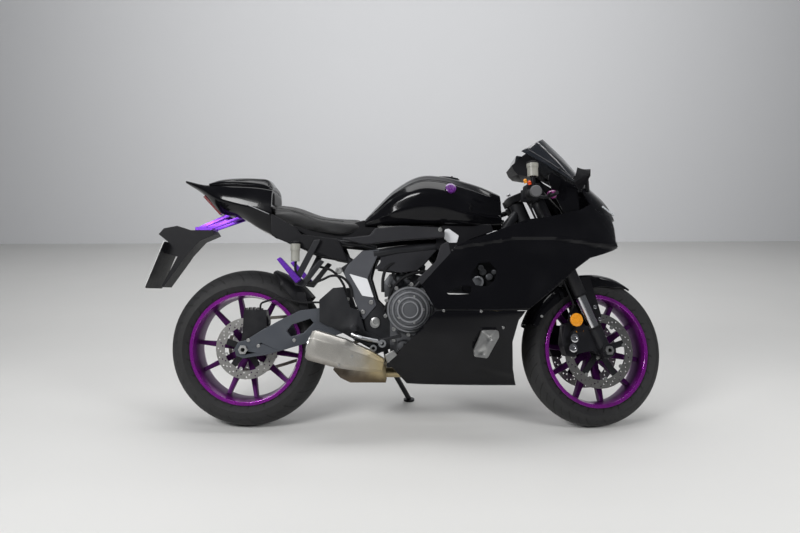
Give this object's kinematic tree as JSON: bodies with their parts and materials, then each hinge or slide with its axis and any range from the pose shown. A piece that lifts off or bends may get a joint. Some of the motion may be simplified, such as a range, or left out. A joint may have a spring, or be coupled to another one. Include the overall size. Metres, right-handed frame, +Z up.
{
  "type": "sport motorcycle",
  "caption": "Faired sport motorcycle leaning on its side stand, with turning wheels, steered front end and folding stand.",
  "frame": {"origin": "on the floor at the middle of the parked motorcycle's footprint box", "axes": "+X forward, +Y to the motorcycle's left, +Z up"},
  "size_m": [2.0922, 0.7624, 1.1471],
  "materials": {
    "tyre_rubber": "charcoal tread rubber",
    "violet_wheel": "candy violet enamel",
    "disc_steel": "turned, drilled",
    "violet_anodised": "violet anodised",
    "gloss_black": "gloss black paint",
    "satin_black": "moulded satin black",
    "cover_grey": "matt grey",
    "frame_grey": "satin dark grey",
    "engine_grey": "painted dark grey casting",
    "bright_steel": "bright plated",
    "fork_black": "satin black",
    "silencer_titanium": "beige metal with a brown heat tint",
    "radiator_black": "black fins",
    "seat_vinyl": "black grained vinyl",
    "lamp_red": "red lens",
    "lamp_glass": "clear lens",
    "amber": "amber reflector",
    "smoked_screen": "smoked screen",
    "fluid_plastic": "translucent",
    "blank_plate": "blank",
    "stand_black": "satin black",
    "hose_rubber": "black rubber hose"
  },
  "bodies": {
    "chassis": {"rear_axle": "bright_steel", "swingarm": "frame_grey", "chain": "bright_steel", "output_sprocket": "bright_steel", "rear_caliper": "fork_black", "main_frame": "frame_grey", "pivot_shaft": "bright_steel", "subframe": "frame_grey", "engine_block": "engine_grey", "clutch_cover": "engine_grey", "generator_cover": "engine_grey", "airbox": "satin_black", "radiator": "radiator_black", "silencer": "silencer_titanium", "exhaust_headers": "silencer_titanium", "fuel_tank": "gloss_black", "rider_seat": "seat_vinyl", "tail_cowl": "gloss_black", "seat_hump": "gloss_black", "side_fairing_right": "gloss_black", "side_fairing_left": "gloss_black", "belly_pan": "gloss_black", "nose_cowl": "gloss_black", "headlamp": "lamp_glass", "windscreen": "smoked_screen", "dash": "satin_black", "side_covers": "cover_grey", "tail_panels": "satin_black", "tail_lamp": "lamp_red", "plate_bracket": "violet_anodised", "plate_hanger": "satin_black", "number_plate": "blank_plate", "hugger": "satin_black", "footrest_right": "frame_grey", "footrest_left": "frame_grey", "pillion_brackets": "frame_grey", "pillion_pegs": "violet_anodised", "rear_reservoir": "fluid_plastic", "frame_sliders": "bright_steel", "mirrors": "satin_black", "rear_brake_hose": "hose_rubber"},
    "steering": {"fork_right": "fork_black", "fork_left": "fork_black", "yokes": "frame_grey", "handlebar_right": "frame_grey", "handlebar_left": "frame_grey", "front_calipers": "fork_black", "front_reservoir": "fluid_plastic", "fork_reflectors": "amber", "front_fender": "gloss_black", "front_brake_hoses": "hose_rubber", "front_axle": "bright_steel"},
    "front_wheel": {"front_tyre": "tyre_rubber", "front_rim": "violet_wheel", "front_discs": "disc_steel"},
    "rear_wheel": {"rear_tyre": "tyre_rubber", "rear_rim": "violet_wheel", "rear_disc": "disc_steel", "rear_sprocket": "bright_steel"},
    "side_stand": {"side_stand": "stand_black"}
  },
  "joints": [
    {"name": "steering_head", "type": "hinge", "parent": "chassis", "child": "steering", "pos_m": [0.71924, -0.12887, 0.27763], "axis": [-0.399, 0.175, 0.9001], "range_deg": [-47, 17]},
    {"name": "front_wheel_spin", "type": "hinge", "parent": "steering", "child": "front_wheel", "pos_m": [0.7529, -0.11642, 0.29012], "axis": [-0.2373, 0.9285, -0.2857], "continuous": true},
    {"name": "rear_wheel_spin", "type": "hinge", "parent": "chassis", "child": "rear_wheel", "pos_m": [-0.64087, -0.12239, 0.31096], "axis": [0, 0.9816, -0.1908], "continuous": true},
    {"name": "side_stand_fold", "type": "hinge", "parent": "chassis", "child": "side_stand", "pos_m": [-0.08106, -0.0261, 0.21938], "axis": [0.019, 0.8557, 0.5171], "range_deg": [0, 96.38]}
  ]
}
